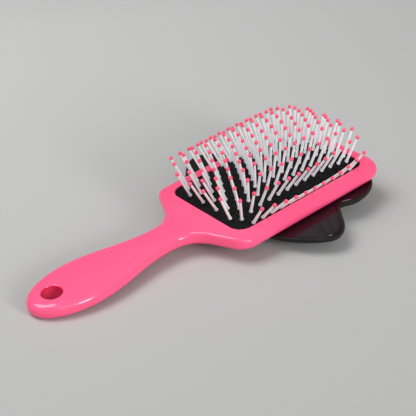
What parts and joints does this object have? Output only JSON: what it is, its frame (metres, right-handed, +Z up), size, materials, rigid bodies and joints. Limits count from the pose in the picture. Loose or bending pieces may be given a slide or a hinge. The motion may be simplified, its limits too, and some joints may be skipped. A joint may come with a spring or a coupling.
{
  "type": "cushion paddle hair brush",
  "caption": "Cushion paddle hair brush: rectangular head, domed rubber pad with splayed ball-tipped pins, tapered grip with a hang hole, and a butterfly ornament on the back.",
  "frame": {"origin": "middle of the bounding box on the floor plane, with the brush lying on its back, pins up, resting on the butt of its handle and on the two fore wing domes of the ornament", "axes": "+Y along the floor from the handle towards the far end of the head, +Z up, +X across the head; the brush itself is tipped 4.27 degrees about X, head end up"},
  "size_m": [0.13, 0.241, 0.0533],
  "materials": {
    "pink_plastic": "gloss",
    "pink_cover_plastic": "gloss",
    "black_rubber": "matt",
    "ring_plastic": "matt",
    "white_nylon": "satin",
    "ornament_plastic": "gloss",
    "screw_steel": "plain"
  },
  "bodies": {
    "brush": {"body": "pink_plastic", "back_cover": "pink_cover_plastic", "cushion": "black_rubber", "clamp_ring": "ring_plastic", "pin_strip_01": "white_nylon", "pin_strip_11": "white_nylon", "ornament_plate": "ornament_plastic", "fore_wing_left": "ornament_plastic", "fore_wing_right": "ornament_plastic", "hind_wing_left": "ornament_plastic", "hind_wing_right": "ornament_plastic", "thorax": "ornament_plastic", "ornament_screw_1": "screw_steel", "ornament_screw_2": "screw_steel", "ornament_screw_3": "screw_steel", "ornament_screw_4": "screw_steel", "ornament_screw_5": "screw_steel", "ornament_screw_6": "screw_steel"},
    "centre_pins": {"pin_strip_04_middle": "white_nylon", "pin_strip_05_middle": "white_nylon", "pin_strip_06_middle": "white_nylon", "pin_strip_07_middle": "white_nylon", "pin_strip_08_middle": "white_nylon"},
    "flank_pins": {"pin_strip_03_middle": "white_nylon", "pin_strip_09_middle": "white_nylon"},
    "side_pins": {"pin_strip_02_middle": "white_nylon", "pin_strip_10_middle": "white_nylon"},
    "end_pins": {"pin_strip_03_handle_end": "white_nylon", "pin_strip_03_far_end": "white_nylon", "pin_strip_04_handle_end": "white_nylon", "pin_strip_04_far_end": "white_nylon", "pin_strip_05_handle_end": "white_nylon", "pin_strip_05_far_end": "white_nylon", "pin_strip_06_handle_end": "white_nylon", "pin_strip_06_far_end": "white_nylon", "pin_strip_07_handle_end": "white_nylon", "pin_strip_07_far_end": "white_nylon", "pin_strip_08_handle_end": "white_nylon", "pin_strip_08_far_end": "white_nylon", "pin_strip_09_handle_end": "white_nylon", "pin_strip_09_far_end": "white_nylon"},
    "corner_pins": {"pin_strip_02_handle_end": "white_nylon", "pin_strip_02_far_end": "white_nylon", "pin_strip_10_handle_end": "white_nylon", "pin_strip_10_far_end": "white_nylon"}
  },
  "joints": [
    {"name": "centre_press", "type": "slide", "parent": "brush", "child": "centre_pins", "axis": [0, 0.0744, -0.9972], "range_m": [0, 0.0045], "stiffness_N_per_m": 900, "deforming": ["cushion"]},
    {"name": "flank_press", "type": "slide", "parent": "brush", "child": "flank_pins", "axis": [0, 0.0744, -0.9972], "range_m": [0, 0.00392], "stiffness_N_per_m": 400},
    {"name": "side_press", "type": "slide", "parent": "brush", "child": "side_pins", "axis": [0, 0.0744, -0.9972], "range_m": [0, 0.0028], "stiffness_N_per_m": 400},
    {"name": "end_press", "type": "slide", "parent": "brush", "child": "end_pins", "axis": [0, 0.0744, -0.9972], "range_m": [0, 0.00258], "stiffness_N_per_m": 400},
    {"name": "corner_press", "type": "slide", "parent": "brush", "child": "corner_pins", "axis": [0, 0.0744, -0.9972], "range_m": [0, 0.00168], "stiffness_N_per_m": 400}
  ],
  "couplings": [
    {"joint": "flank_press", "follows": "centre_press", "ratio": 0.87},
    {"joint": "side_press", "follows": "centre_press", "ratio": 0.62},
    {"joint": "end_press", "follows": "centre_press", "ratio": 0.57},
    {"joint": "corner_press", "follows": "centre_press", "ratio": 0.37}
  ]
}
